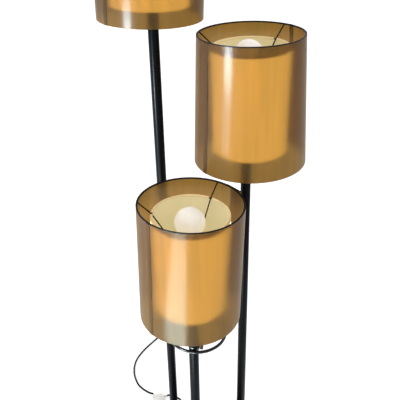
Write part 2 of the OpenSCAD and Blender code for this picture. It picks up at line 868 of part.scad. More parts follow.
// Round button with a collar that keeps it in the shell, and its plunger
module switch_button() {
    proud = button_travel + 1.5;
    collar_t = 1.5;
    color(white)
        at_switch(switch_h - switch_wall - collar_t - 0.2) {
            cylinder(d = button_d + 4, h = collar_t);
            rotate_extrude()
                polygon([[0, 0], [button_d / 2, 0],
                         [button_d / 2, switch_wall + collar_t + proud - 2],
                         [button_d / 2 - 2, switch_wall + collar_t + proud],
                         [0, switch_wall + collar_t + proud + 0.6]]);
            translate([0, 0, -6]) cylinder(d = 6, h = 7);
        }
}

// Contact block with the hole that the plunger enters
module switch_block() {
    block_w = 22;
    block_l = 32;
    block_h = 12;
    color([0.85, 0.85, 0.85])
        at_switch(switch_wall)
            difference() {
                translate([-block_w / 2, -block_l / 2, 0]) cube([block_w, block_l, block_h]);
                translate([0, 0, 2]) cylinder(d = 7, h = block_h);
            }
}

// ---------------------------------------------------------------- plug

module at_plug(x) {
    translate(coil_end + [x, 0, 0]) rotate([0, 90, 0]) children();
}

// Moulded two-pin plug with its sleeve, lying beside the coil
module plug_body() {
    nose_w = plug_w - 8;
    color(black) {
        at_plug(0) cylinder(d1 = cord_d + 1.6, d2 = cord_d + 5, h = plug_sleeve_l + 1);
        translate(coil_end + [plug_sleeve_l, 0, 0])
            rotate([0, 90, 0])
                hull() {
                    translate([-plug_h / 2 + 3, -nose_w / 2 + 3, 0]) cube([plug_h - 6, nose_w - 6, 1]);
                    for (x = [-1, 1], y = [-1, 1])
                        translate([x * (plug_h / 2 - 3), y * (plug_w / 2 - 3), 10])
                            cylinder(r = 3, h = plug_l - 10, $fn = 24);
                }
    }
}

module plug_pins() {
    color(brass)
        for (y = [-1, 1])
            translate([0, y * pin_gap / 2, 0])
                at_plug(plug_sleeve_l + plug_l) {
                    cylinder(d = pin_d, h = pin_l - 1);
                    translate([0, 0, pin_l - 1]) cylinder(d1 = pin_d, d2 = pin_d - 1.5, h = 1);
                }
}

// ---------------------------------------------------------------- what is drawn

pole(LOW);  // low_pole
pole(MID);  // mid_pole
pole(HIGH);  // high_pole
spider(LOW);  // low_spider
spider(MID);  // mid_spider
spider(HIGH);  // high_spider
film(LOW);  // low_film
film(MID);  // mid_film
film(HIGH);  // high_film
inner_shade(LOW);  // low_inner_shade
inner_shade(MID);  // mid_inner_shade
inner_shade(HIGH);  // high_inner_shade
edge_wire(LOW);  // low_edge_wire
edge_wire(MID);  // mid_edge_wire
edge_wire(HIGH);  // high_edge_wire
holder_cap(LOW);  // low_holder_cap
holder_cap(MID);  // mid_holder_cap
holder_cap(HIGH);  // high_holder_cap
holder_insert(LOW);  // low_holder_insert
holder_insert(MID);  // mid_holder_insert
holder_insert(HIGH);  // high_holder_insert
holder_skirt(LOW);  // low_holder_skirt
holder_skirt(MID);  // mid_holder_skirt
holder_skirt(HIGH);  // high_holder_skirt
shade_ring(LOW);  // low_shade_ring
shade_ring(MID);  // mid_shade_ring
shade_ring(HIGH);  // high_shade_ring
bulb_glass(LOW);  // low_bulb_glass
bulb_glass(MID);  // mid_bulb_glass
bulb_glass(HIGH);  // high_bulb_glass
bulb_cap(LOW);  // low_bulb_cap
bulb_cap(MID);  // mid_bulb_cap
bulb_cap(HIGH);  // high_bulb_cap
lead(LOW);  // low_lead
lead(MID);  // mid_lead
lead(HIGH);  // high_lead
pole_caps();
pole_plugs();
threaded_nipples();
foot_nuts();
foot_washers();
foot_cover();
foot_weight();
foot_plate();
foot_felt();
plate_screws();
junction_box();
cord_gland();
hoop();
hoop_knob();
cord_lamp();
cord_mains();
cord_coil();
switch_base();
switch_top();
switch_button();
switch_block();
plug_body();
plug_pins();
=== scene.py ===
import math
import bmesh
import bpy
from mathutils import Matrix, Vector


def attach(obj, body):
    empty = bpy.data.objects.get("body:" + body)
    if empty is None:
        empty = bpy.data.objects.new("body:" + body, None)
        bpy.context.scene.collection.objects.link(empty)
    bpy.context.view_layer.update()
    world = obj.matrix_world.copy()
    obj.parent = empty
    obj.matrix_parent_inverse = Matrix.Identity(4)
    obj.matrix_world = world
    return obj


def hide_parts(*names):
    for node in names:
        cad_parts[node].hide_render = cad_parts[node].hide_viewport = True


# Lengths are in metres and angles in degrees, unless a name says otherwise.
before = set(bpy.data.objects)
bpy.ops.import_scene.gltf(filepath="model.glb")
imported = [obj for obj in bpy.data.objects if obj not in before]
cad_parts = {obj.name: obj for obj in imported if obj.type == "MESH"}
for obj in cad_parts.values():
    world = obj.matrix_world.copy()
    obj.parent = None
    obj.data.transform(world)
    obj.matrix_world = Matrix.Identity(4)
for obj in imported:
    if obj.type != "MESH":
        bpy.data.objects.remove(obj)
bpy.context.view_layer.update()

# ---- Camera: a normal lens above the low shade, tilted down along the poles. The picture's
# frame is slid down a little and the horizon is a degree off level, as in a hand-held shot.
eye_place = Vector((0.2046, -1.1534, 1.610))
turned_left = 9.882
raised_from_straight_down = 63.038
horizon_off_level = -1.126
focal_length_mm = 49.82
full_frame_width_mm = 36
slid_down = -0.081
camera_lens = bpy.data.cameras.new("camera")
camera_lens.lens = focal_length_mm
camera_lens.sensor_width = full_frame_width_mm
camera_lens.shift_y = slid_down
camera = bpy.data.objects.new("camera", camera_lens)
camera.matrix_world = (
    Matrix.Translation(eye_place)
    @ Matrix.Rotation(math.radians(turned_left), 4, "Z")
    @ Matrix.Rotation(math.radians(raised_from_straight_down), 4, "X")
    @ Matrix.Rotation(math.radians(horizon_off_level), 4, "Z")
)
bpy.context.scene.collection.objects.link(camera)
bpy.context.scene.camera = camera

# ---- Mains cord: round black PVC sheath over two cores. It lies loosely on the floor from
# the foot to the foot switch and on towards the back, and the rest is wound in a round coil
# of two layers, out of the picture.
cord_d = 0.0064
cord_z = cord_d / 2


def turned(point, degrees):
    """The point turned round the Z axis."""
    return Matrix.Rotation(math.radians(degrees), 3, "Z") @ Vector(point)


def smooth_run(points, steps=8):
    """The points, with a smooth curve between the first and the last straight stretch."""
    points = [Vector(p) for p in points]
    run = [points[0]]
    for a, b, c, d in zip(points, points[1:], points[2:], points[3:]):
        for step in range(steps):
            t = step / steps
            run.append(
                0.5 * (2 * b + (c - a) * t + (2 * a - 5 * b + 4 * c - d) * t**2
                       + (3 * b - a - 3 * c + d) * t**3)
            )
    return run + points[-2:]


def bent_bar(name, thickness, *runs, closed=False):
    """Round wire or cord along each run of points."""
    curve = bpy.data.curves.new(name, "CURVE")
    curve.dimensions = "3D"
    curve.bevel_depth = thickness / 2
    curve.bevel_resolution = 3
    curve.use_fill_caps = not closed
    for run in runs:
        spline = curve.splines.new("POLY")
        spline.points.add(len(run) - 1)
        spline.use_cyclic_u = closed
        for spot, place in zip(spline.points, run):
            spot.co = (*place, 1)
    piece = bpy.data.objects.new(name, curve)
    bpy.context.scene.collection.objects.link(piece)
    return piece


def add_node(tree, kind, inputs=None, **settings):
    """Adds a node with its settings, and links or sets its inputs."""
    made = tree.nodes.new(kind)
    for setting, value in settings.items():
        setattr(made, setting, value)
    for socket, value in (inputs or {}).items():
        if isinstance(value, bpy.types.NodeSocket):
            tree.links.new(value, made.inputs[socket])
        else:
            made.inputs[socket].default_value = value
    return made


def linear(hex_colour):
    """An sRGB hex colour as linear RGBA."""
    parts = [int(hex_colour[k : k + 2], 16) / 255 for k in (1, 3, 5)]
    parts = [c / 12.92 if c <= 0.04045 else ((c + 0.055) / 1.055) ** 2.4 for c in parts]
    return (*parts, 1.0)


def finish(name, tones, patch_mm, roughness, grain_mm, grain_height_mm, drawn=(1, 1, 1), **fixed):
    """A material whose colour drifts between two tones in patches and its roughness with it,
    over a fine grain in relief. drawn stretches both, for a surface drawn or rolled one way."""
    material = bpy.data.materials.new(name)
    material.use_nodes = True
    tree = material.node_tree
    shader = tree.nodes["Principled BSDF"]
    for socket, value in fixed.items():
        shader.inputs[socket.replace("_", " ")].default_value = value
    place = add_node(tree, "ShaderNodeTexCoord").outputs["Object"]
    place = add_node(
        tree, "ShaderNodeMapping", {"Vector": place, "Scale": drawn}
    ).outputs["Vector"]
    patches = add_node(
        tree, "ShaderNodeTexNoise", {"Vector": place, "Scale": 1000 / patch_mm, "Detail": 3.0}
    ).outputs["Fac"]
    tone = add_node(
        tree, "ShaderNodeMix", {"Factor": patches, "A": linear(tones[0]), "B": linear(tones[1])},
        data_type="RGBA",
    )
    tree.links.new(tone.outputs["Result"], shader.inputs["Base Color"])
    gloss = add_node(
        tree, "ShaderNodeMapRange",
        {"Value": patches, "From Min": 0.3, "From Max": 0.7,
         "To Min": roughness[0], "To Max": roughness[1]},
    )
    tree.links.new(gloss.outputs["Result"], shader.inputs["Roughness"])
    grain = add_node(
        tree, "ShaderNodeTexNoise", {"Vector": place, "Scale": 1000 / grain_mm, "Detail": 2.0}
    )
    relief = add_node(
        tree, "ShaderNodeBump",
        {"Height": grain.outputs["Fac"], "Strength": 1.0, "Distance": grain_height_mm / 1000},
    )
    tree.links.new(relief.outputs["Normal"], shader.inputs["Normal"])
    return material


# Extruded soft PVC: near black, satin, with a faint unevenness along the sheath
pvc_sheath = finish("extruded_black_pvc", ("#08080a", "#101012"), patch_mm=30,
                    roughness=(0.4, 0.55), grain_mm=1.5, grain_height_mm=0.03, IOR=1.53,
                    Specular_IOR_Level=0.1)

outlet_angle = 123
outlet_height = 0.0095
outlet_reach = 0.1825
outlet_direction = turned((1, 0, 0), outlet_angle)
outlet_end = outlet_direction * outlet_reach + Vector((0, 0, outlet_height))

# The switch lies askew. The lamp's cord enters its right side, the mains cord its far end.
switch_width = 0.044
switch_length = 0.076
switch_middle = Vector((-0.177, 0.139, 0))
switch_turn = 30
switch_cord_z = 0.008
lamp_entry_y = 0.030
mains_entry_x = -0.010
sleeve_length = 0.013
sleeve_root = 0.001
sleeve_reach = sleeve_length - sleeve_root
switch_lamp_direction = turned((1, 0, 0), switch_turn)
switch_mains_direction = turned((0, 1, 0), switch_turn)
switch_lamp_end = switch_middle + turned(
    (switch_width / 2 + sleeve_reach, lamp_entry_y, switch_cord_z), switch_turn)
switch_mains_end = switch_middle + turned(
    (mains_entry_x, switch_length / 2 + sleeve_reach, switch_cord_z), switch_turn)

# Where the cords lie: as in the photograph as far as it shows them
lamp_route = [(-0.107, 0.165, 0.0075), (-0.114, 0.175, 0.005), (-0.126, 0.183, cord_z),
              (-0.138, 0.186, 0.004)]
lamp_run = smooth_run(
    [outlet_end, outlet_end + cord_d * outlet_direction, *lamp_route,
     switch_lamp_end + cord_d * switch_lamp_direction, switch_lamp_end]
)

mains_route = [(-0.222, 0.186, 0.005), (-0.236, 0.192, cord_z), (-0.257, 0.203, cord_z),
               (-0.278, 0.220, cord_z), (-0.297, 0.249, cord_z), (-0.308, 0.275, cord_z),
               (-0.314, 0.305, cord_z), (-0.313, 0.338, cord_z), (-0.302, 0.375, cord_z),
               (-0.284, 0.414, cord_z), (-0.262, 0.455, cord_z), (-0.247, 0.490, cord_z),
               (-0.236, 0.530, cord_z), (-0.232, 0.570, cord_z)]
coil_middle = Vector((-0.185, 0.610, 0))
coil_inner_r = 0.026
coil_slack = 0.0005
coil_pitch = cord_d + coil_slack
coil_turns = 6.25
coil_outer_r = coil_inner_r + coil_pitch * coil_turns / 2
coil_steps = 48
coil_tail = 2.5 * cord_d


def coil_spot(turn):
    """In along the floor, up a layer where the spiral turns back, and out again on top."""
    off_middle = turn - coil_turns / 2
    r = coil_inner_r + coil_pitch * abs(off_middle)
    lift = coil_pitch * min(1, max(0, off_middle * 2 + 0.5))  # within the middle half turn
    angle = math.pi - 2 * math.pi * turn
    return coil_middle + Vector((r * math.cos(angle), r * math.sin(angle), cord_z + lift))


coil_start = coil_middle + Vector((-coil_outer_r, -cord_d, cord_z))
coil_run = [coil_spot(k / coil_steps) for k in range(int(coil_turns * coil_steps) + 1)]
coil_end = coil_run[-1] + Vector((coil_tail, 0, 0))
mains_run = smooth_run(
    [switch_mains_end, switch_mains_end + cord_d * switch_mains_direction, *mains_route,
     coil_start - Vector((0, cord_d, 0)), coil_start]
) + coil_run + [coil_end]

lamp_cord = bent_bar("lamp_cord", cord_d, lamp_run)
mains_cord = bent_bar("mains_cord", cord_d, mains_run)
for cord_piece, stands_for in ((lamp_cord, ["cord_lamp"]),
                               (mains_cord, ["cord_mains", "cord_coil"])):
    cord_piece.data.materials.append(pvc_sheath)
    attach(cord_piece, "lamp")
    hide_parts(*stands_for)

# ---- Foot switch: two moulded white ABS shells that meet in a fine groove, with a round
# push button in the top and a ribbed sleeve where each cord comes out.
switch_height = 0.024
switch_groove_z = 0.011
switch_corner_r = 0.008
upper_shell_height = switch_height - switch_groove_z
upper_side_height = 0.005
upper_side_slope = 0.004
upper_edge_r = 0.0012
lower_edge_r = 0.0005
button_r = 0.015
button_gap = 0.0005
button_well_depth = 0.0025
button_seat_z = 0.0203
button_flange_r = 0.017
button_flange_t = 0.0015

# Injection-moulded ABS with a spark-eroded texture: off-white, satin
white_abs = finish("moulded_white_abs", ("#f2ece6", "#faf6f1"), patch_mm=25,
                   roughness=(0.36, 0.48), grain_mm=0.7, grain_height_mm=0.02, IOR=1.53)


def rounded_plate(width, length, corner_r):
    """A flat face with rounded corners, to be drawn up into a shell."""
    shape = bmesh.new()
    bmesh.ops.create_grid(shape, x_segments=1, y_segments=1, size=0.5)
    bmesh.ops.scale(shape, vec=(width, length, 1), verts=shape.verts)
    bmesh.ops.bevel(shape, geom=shape.verts[:], offset=corner_r, segments=8, profile=0.5,
                    affect="VERTICES", material=-1)
    return shape


def draw_up(shape, rise, scale_x=1.0, scale_y=1.0):
    """Draws the topmost face up, and in or out as it goes."""
    top = max(shape.faces, key=lambda f: f.calc_center_median().z)
    drawn = bmesh.ops.extrude_face_region(shape, geom=[top])["geom"]
    corners = [g for g in drawn if isinstance(g, bmesh.types.BMVert)]
    bmesh.ops.translate(shape, vec=(0, 0, rise), verts=corners)
    bmesh.ops.scale(shape, vec=(scale_x, scale_y, 1), verts=corners)


def soften(shape, width, sharper_than=35, segments=3):
    """Rounds the edges at which the surface turns more sharply than the angle."""
    sharp = [e for e in shape.edges
             if len(e.link_faces) == 2 and e.calc_face_angle(0) > math.radians(sharper_than)]
    bmesh.ops.bevel(shape, geom=sharp, offset=width, segments=segments, profile=0.5,
                    affect="EDGES", clamp_overlap=True, material=-1)


def spun(outline, closed=True, steps=96, sweep=360):
    """A shape turned round the Z axis from an outline of (radius, height) points."""
    shape = bmesh.new()
    spots = [shape.verts.new((r, 0, z)) for r, z in outline]
    pairs = list(zip(spots, spots[1:])) + ([(spots[-1], spots[0])] if closed else [])
    edges = [shape.edges.new(pair) for pair in pairs]
    bmesh.ops.spin(shape, geom=spots + edges, cent=(0, 0, 0), axis=(0, 0, 1),
                   angle=math.radians(sweep), steps=steps, use_merge=sweep == 360)
    bmesh.ops.remove_doubles(shape, verts=shape.verts, dist=1e-6)
    if sweep != 360:
        bmesh.ops.holes_fill(shape, edges=[e for e in shape.edges if e.is_boundary])
    bmesh.ops.recalc_face_normals(shape, faces=shape.faces)
    return shape


def make_piece(name, shape, place, materials, body, slot, *stands_for):
    """Sets the shape in its place as a piece of the lamp, smooth up to its real edges."""
    bmesh.ops.transform(shape, matrix=place, verts=shape.verts)
    mesh = bpy.data.meshes.new(name)
    shape.to_mesh(mesh)
    shape.free()
    mesh.shade_smooth()
    mesh.set_sharp_from_angle(angle=math.radians(40))
    piece = bpy.data.objects.new(name, mesh)
    bpy.context.scene.collection.objects.link(piece)
    for material in materials:
        mesh.materials.append(material)
    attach(piece, body)
    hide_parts(*stands_for)
    return piece


def ribbed_sleeve(start_r, end_r, length, ribs=5, groove=0.0004):
    """Tapered strain relief with rings moulded round it."""
    outline = [(0, 0)]
    for k in range(ribs):
        for part, depth in ((0.0, 0.0), (0.6, 0.0), (0.7, groove), (0.9, groove)):
            along = (k + part) / ribs
            outline.append((start_r + (end_r - start_r) * along - depth, length * along))
    return spun(outline + [(end_r, length), (0, length)], closed=False, steps=32)


at_switch = Matrix.Translation(switch_middle) @ Matrix.Rotation(math.radians(switch_turn), 4, "Z")

base_shape = rounded_plate(switch_width, switch_length, switch_corner_r)
draw_up(base_shape, switch_groove_z)
bmesh.ops.recalc_face_normals(base_shape, faces=base_shape.faces)
soften(base_shape, lower_edge_r, sharper_than=60)
switch_base = make_piece("switch_lower_shell", base_shape, at_switch, [white_abs], "lamp",
                         "white_plastic", "switch_base")

top_shape = rounded_plate(switch_width, switch_length, switch_corner_r)
draw_up(top_shape, upper_side_height)
draw_up(top_shape, upper_shell_height - upper_side_height,
        1 - upper_side_slope / switch_width, 1 - upper_side_slope / switch_length)
bmesh.ops.recalc_face_normals(top_shape, faces=top_shape.faces)
soften(top_shape, upper_edge_r, sharper_than=60, segments=4)
lid = max(top_shape.faces, key=lambda f: f.calc_center_median().z)
lid_edges = lid.edges[:]
bmesh.ops.delete(top_shape, geom=[lid], context="FACES_ONLY")
hole_spots = bmesh.ops.create_circle(top_shape, segments=64,
                                     radius=button_r + button_gap)["verts"]
bmesh.ops.translate(top_shape, vec=(0, 0, upper_shell_height), verts=hole_spots)
hole_edges = list({e for v in hole_spots for e in v.link_edges})
bmesh.ops.bridge_loops(top_shape, edges=lid_edges + hole_edges)
hole_wall = bmesh.ops.extrude_edge_only(top_shape, edges=hole_edges)["geom"]
wall_spots = [g for g in hole_wall if isinstance(g, bmesh.types.BMVert)]
bmesh.ops.translate(top_shape, vec=(0, 0, -button_well_depth), verts=wall_spots)
bmesh.ops.holes_fill(top_shape, edges=[e for e in top_shape.edges if e.is_boundary])
bmesh.ops.recalc_face_normals(top_shape, faces=top_shape.faces)
switch_top = make_piece(
    "switch_upper_shell", top_shape, at_switch @ Matrix.Translation((0, 0, switch_groove_z)),
    [white_abs], "lamp", "white_plastic", "switch_top",
)

along_x = Matrix.Rotation(math.radians(90), 4, "Y")
along_y = Matrix.Rotation(math.radians(-90), 4, "X")
mains_side = Matrix.Translation(
    (mains_entry_x, switch_length / 2 - sleeve_root, switch_cord_z)) @ along_y
lamp_side = Matrix.Translation(
    (switch_width / 2 - sleeve_root, lamp_entry_y, switch_cord_z)) @ along_x
switch_sleeves = [
    make_piece(name, ribbed_sleeve(start_r=0.005, end_r=0.004, length=sleeve_length, ribs=4),
               at_switch @ side, [white_abs], "lamp", "white_plastic")
    for name, side in (("switch_mains_sleeve", mains_side), ("switch_lamp_sleeve", lamp_side))
]

button_crown = [(0.0146, 0.0067), (0.0138, 0.0073), (0.0128, 0.0076), (0.008, 0.0079),
                (0, 0.0081)]
button_outline = [(0, 0), (button_flange_r, 0), (button_flange_r, button_flange_t),
                  (button_r, button_flange_t), (button_r, 0.0057), *button_crown]
switch_button = make_piece(
    "switch_push_button", spun(button_outline, closed=False, steps=64),
    at_switch @ Matrix.Translation((0, 0, button_seat_z)), [white_abs], "button",
    "white_plastic", "switch_button",
)
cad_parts["switch_block"].material_slots[0].material = white_abs

# ---- Plug: two-pin, moulded on the cord in black PVC with grip grooves and a ribbed sleeve.
# It lies beside the coil. The pins are turned brass.
plug_height = 0.020
plug_width = 0.036
plug_nose_height = 0.014
plug_nose_width = 0.022
plug_nose_length = 0.010
plug_corner_r = 0.003
plug_edge_r = 0.001
plug_shoulder = 0.004
plug_length = 0.040
grip_grooves = 4
groove_side = 0.0006
groove_floor = 0.0012
groove_land = 0.0022
groove_pitch = 2 * groove_side + groove_floor + groove_land
groove_scale_x = 0.94
groove_scale_y = 0.97
plug_sleeve_length = 0.020
plug_sleeve_start_r = cord_d / 2 + 0.0008
plug_sleeve_end_r = cord_d / 2 + 0.0025
pin_r = 0.002
pin_length = 0.019
pin_spacing = 0.0186
plug_place = Matrix.Translation(coil_end) @ along_x

plug_shape = rounded_plate(plug_nose_height, plug_nose_width, plug_corner_r)
draw_up(plug_shape, plug_nose_length, plug_height / plug_nose_height,
        plug_width / plug_nose_width)
draw_up(plug_shape, plug_shoulder)
for groove in range(grip_grooves):
    draw_up(plug_shape, groove_side, groove_scale_x, groove_scale_y)
    draw_up(plug_shape, groove_floor)
    draw_up(plug_shape, groove_side, 1 / groove_scale_x, 1 / groove_scale_y)
    draw_up(plug_shape, groove_land)
draw_up(plug_shape,
        plug_length - plug_nose_length - plug_shoulder - grip_grooves * groove_pitch)
bmesh.ops.recalc_face_normals(plug_shape, faces=plug_shape.faces)
soften(plug_shape, plug_edge_r, sharper_than=80)
plug_body = make_piece(
    "plug_body_moulding", plug_shape, plug_place @ Matrix.Translation((0, 0, plug_sleeve_length)),
    [pvc_sheath], "lamp", "cord_sheath", "plug_body",
)
plug_sleeve = make_piece(
    "plug_sleeve",
    ribbed_sleeve(plug_sleeve_start_r, plug_sleeve_end_r, plug_sleeve_length + sleeve_root),
    plug_place, [pvc_sheath], "lamp", "cord_sheath",
)

# Turned brass, worn bright where it is handled
turned_brass = finish("turned_brass", ("#b8965a", "#d9bd83"), patch_mm=12,
                      roughness=(0.22, 0.36), grain_mm=0.8, grain_height_mm=0.008, Metallic=1.0)
pin_outline = [(0, 0), (pin_r, 0), (pin_r, pin_length - 0.0012),
               (pin_r - 0.0003, pin_length - 0.0004), (pin_r - 0.0009, pin_length),
               (0, pin_length)]
pins = [
    make_piece(
        f"plug_pin_{side}", spun(pin_outline, closed=False, steps=32),
        plug_place @ Matrix.Translation((0, offset, plug_sleeve_length + plug_length)),
        [turned_brass], "lamp", "brass_parts", "plug_pins",
    )
    for side, offset in (("left", -pin_spacing / 2), ("right", pin_spacing / 2))
]


# ---- Foot: a pressed steel cover with a rounded edge, sprayed black, over a cast iron
# weight that is closed below by a steel plate and felt. The plate's screws go into the weight.
foot_r = 0.155
foot_height = 0.036
cover_wall = 0.0015
cover_edge_r = 0.006
felt_height = 0.002

# Sprayed black lacquer, baked: satin, with a faint orange peel
black_lacquer = finish("sprayed_black_lacquer", ("#0a0b0e", "#141518"), patch_mm=60,
                       roughness=(0.26, 0.4), grain_mm=2.5, grain_height_mm=0.015, IOR=1.5,
                       Specular_IOR_Level=0.2)
# Cast iron under grey primer: rough from the sand mould
cast_iron = finish("primed_cast_iron", ("#3c3d3f", "#57585a"), patch_mm=12,
                   roughness=(0.6, 0.85), grain_mm=1.2, grain_height_mm=0.25)
# Zinc-plated steel: pale, a little uneven in gloss
zinc_steel = finish("zinc_plated_steel", ("#9fa3a6", "#c3c6c8"), patch_mm=10,
                    roughness=(0.28, 0.5), grain_mm=0.9, grain_height_mm=0.01, Metallic=1.0)
# Pressed wool felt: black, matt and fuzzy
wool_felt = finish("pressed_black_felt", ("#141416", "#232326"), patch_mm=3,
                   roughness=(0.9, 1.0), grain_mm=0.5, grain_height_mm=0.2, Sheen_Weight=0.4,
                   Sheen_Roughness=0.6)


def edge_arc(middle_r, middle_z, radius, from_angle, to_angle, steps=8):
    """Points of an arc in an outline."""
    angles = [math.radians(from_angle + (to_angle - from_angle) * k / steps)
              for k in range(steps + 1)]
    return [(middle_r + radius * math.cos(a), middle_z + radius * math.sin(a)) for a in angles]


cover_outline = (
    [(0, foot_height)]
    + edge_arc(foot_r - cover_edge_r, foot_height - cover_edge_r, cover_edge_r, 90, 0)
    + [(foot_r, felt_height), (foot_r - cover_wall, felt_height)]
    + edge_arc(foot_r - cover_edge_r, foot_height - cover_edge_r, cover_edge_r - cover_wall, 0, 90)
    + [(0, foot_height - cover_wall)]
)
make_piece("foot_cover_pressing", spun(cover_outline, closed=False, steps=160), Matrix(),
           [black_lacquer], "lamp", "black_lacquer", "foot_cover")
for hidden_part, hidden_finish in (("foot_weight", cast_iron), ("foot_plate", zinc_steel),
                                   ("foot_felt", wool_felt), ("plate_screws", zinc_steel),
                                   ("foot_washers", zinc_steel), ("foot_nuts", turned_brass),
                                   ("junction_box", white_abs)):
    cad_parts[hidden_part].material_slots[0].material = hidden_finish

# ---- Strain relief: soft black PVC moulded on the cord, with a flange against the cover and
# a ribbed sleeve that tapers to the cord.
gland_flange_r = 0.0067
gland_flange_t = 0.0025
gland_edge_r = 0.0005
gland_sleeve_length = 0.025
gland_place = (
    Matrix.Translation((0, 0, outlet_height))
    @ Matrix.Rotation(math.radians(outlet_angle), 4, "Z") @ along_x
)
gland_flange = spun(
    [(0, 0), (gland_flange_r - gland_edge_r, 0), (gland_flange_r, gland_edge_r),
     (gland_flange_r, 0.0018), (gland_flange_r - gland_edge_r, gland_flange_t),
     (0, gland_flange_t)],
    closed=False, steps=48,
)
make_piece("gland_flange", gland_flange, gland_place @ Matrix.Translation((0, 0, foot_r)),
           [pvc_sheath], "lamp", "cord_sheath", "cord_gland")
make_piece("gland_sleeve",
           ribbed_sleeve(start_r=0.0052, end_r=0.004, length=gland_sleeve_length, ribs=7),
           gland_place @ Matrix.Translation((0, 0, foot_r + gland_flange_t)),
           [pvc_sheath], "lamp", "cord_sheath")

# ---- Poles: three drawn steel tubes, lacquered black, of stepped heights. A plug pressed in
# the lower end and a turned stop in the upper one hold the threaded nipples.
pole_r = 0.0125
pole_wall = 0.0012
pole_edge_r = 0.0003
pole_circle_r = 0.1245
lamp_names = ["low", "mid", "high"]
lamp_angles = [-90, 30, 150]
low_rim_height = 0.990
rim_step = 0.332
hub_drop = 0.130
pole_top_drop = 0.042
pole_places = [pole_circle_r * turned((1, 0, 0), angle) for angle in lamp_angles]
rim_heights = [low_rim_height + k * rim_step for k in range(len(lamp_names))]
hub_places = [place + Vector((0, 0, rim - hub_drop))
              for place, rim in zip(pole_places, rim_heights)]

# The same lacquer on drawn tube: its gloss runs lengthwise
pole_lacquer = finish("lacquered_drawn_tube", ("#07090b", "#101215"), patch_mm=40,
                      roughness=(0.24, 0.4), grain_mm=2.5, grain_height_mm=0.015,
                      drawn=(1, 1, 0.15), IOR=1.5, Specular_IOR_Level=0.05)

for name, place, hub in zip(lamp_names, pole_places, hub_places):
    top_height = hub.z - pole_top_drop
    tube = spun([(pole_r, foot_height), (pole_r, top_height), (pole_r - pole_wall, top_height),
                 (pole_r - pole_wall, foot_height)], steps=64)
    soften(tube, pole_edge_r, segments=2)
    make_piece(f"{name}_pole_tube", tube, Matrix.Translation(place), [pole_lacquer], "lamp",
               "black_lacquer", f"{name}_pole")
for fitting, fitting_finish in (("pole_caps", zinc_steel), ("pole_plugs", zinc_steel),
                                ("threaded_nipples", turned_brass)):
    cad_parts[fitting].material_slots[0].material = fitting_finish

# ---- Lampholders: moulded black phenolic. A dome cap screws on the nipple and holds the
# contact insert, the threaded skirt carries the spider's hub plate, and a fluted ring on the
# thread clamps it.
nipple_hole_r = 0.00505
holder_r = 0.021
neck_r = 0.014
cap_hollow_r = 0.012
cap_foot_z = -0.038
cap_floor_z = -0.035
dome_z = -0.028
dome_height = 0.010
cap_top_z = -0.018
cap_edge_r = 0.0003
insert_seat_r = 0.0178
skirt_r = 0.01975
skirt_bore_r = 0.0154
skirt_floor_z = -0.010
skirt_top_z = 0.026
collar_r = 0.025
hub_plate_t = 0.002
skirt_thread_z = 0.0082
skirt_thread_pitch = 0.0025
skirt_thread_turns = 7
ring_bore_r = skirt_r + 0.00005
ring_grip_r = 0.0235
ring_height = 0.008
ring_flutes = 18
ring_flute_depth = 0.001

# Phenolic moulding: brownish black, shiny where it came off the polished tool
phenolic = finish("moulded_phenolic", ("#0b0a0a", "#191614"), patch_mm=9, roughness=(0.2, 0.34),
                  grain_mm=0.8, grain_height_mm=0.01, IOR=1.62)
# White PVC over two cores
white_sheath = finish("white_pvc_sheath", ("#d9d8d2", "#eceae5"), patch_mm=20,
                      roughness=(0.42, 0.55), grain_mm=1.0, grain_height_mm=0.02)


def flute(shape, count, depth, outside_r):
    """Presses finger grooves into the part of the shape that lies outside a radius."""
    for spot in shape.verts:
        r = math.hypot(spot.co.x, spot.co.y)
        if r > outside_r:
            groove = max(0, math.cos(count * math.atan2(spot.co.y, spot.co.x))) ** 0.7
            spot.co.x *= 1 - depth * groove / r
            spot.co.y *= 1 - depth * groove / r


dome_outline = (
    [(nipple_hole_r, cap_foot_z), (neck_r, cap_foot_z)]
    + [(neck_r + (holder_r - neck_r) * math.sin(math.radians(a)),
        dome_z - dome_height * math.cos(math.radians(a))) for a in range(10, 91, 10)]
    + [(holder_r, cap_top_z), (insert_seat_r, cap_top_z), (insert_seat_r, dome_z),
       (cap_hollow_r, dome_z), (cap_hollow_r, cap_floor_z), (nipple_hole_r, cap_floor_z)]
)
thread_outline = []
for turn in range(skirt_thread_turns):
    for rise, depth in ((0.0, 0.0), (0.0009, 0.0), (0.0013, 0.0006), (0.0021, 0.0006)):
        thread_outline.append((skirt_r - depth,
                               skirt_thread_z + skirt_thread_pitch * turn + rise))
skirt_outline = (
    [(skirt_bore_r, skirt_floor_z), (skirt_bore_r, skirt_top_z),
     (skirt_r - 0.0008, skirt_top_z), (skirt_r, skirt_top_z - 0.0004)]
    + thread_outline[::-1]
    + [(skirt_r, -hub_plate_t), (collar_r, -hub_plate_t), (collar_r, -0.005),
       (holder_r, -0.0065), (holder_r, cap_top_z), (insert_seat_r, cap_top_z),
       (insert_seat_r, skirt_floor_z)]
)
ring_outline = [(ring_bore_r, 0), (ring_grip_r - 0.0003, 0), (ring_grip_r, 0.0003),
                (ring_grip_r, ring_height - 0.002), (ring_grip_r - 0.0006, ring_height - 0.0006),
                (ring_grip_r - 0.002, ring_height), (ring_bore_r, ring_height)]
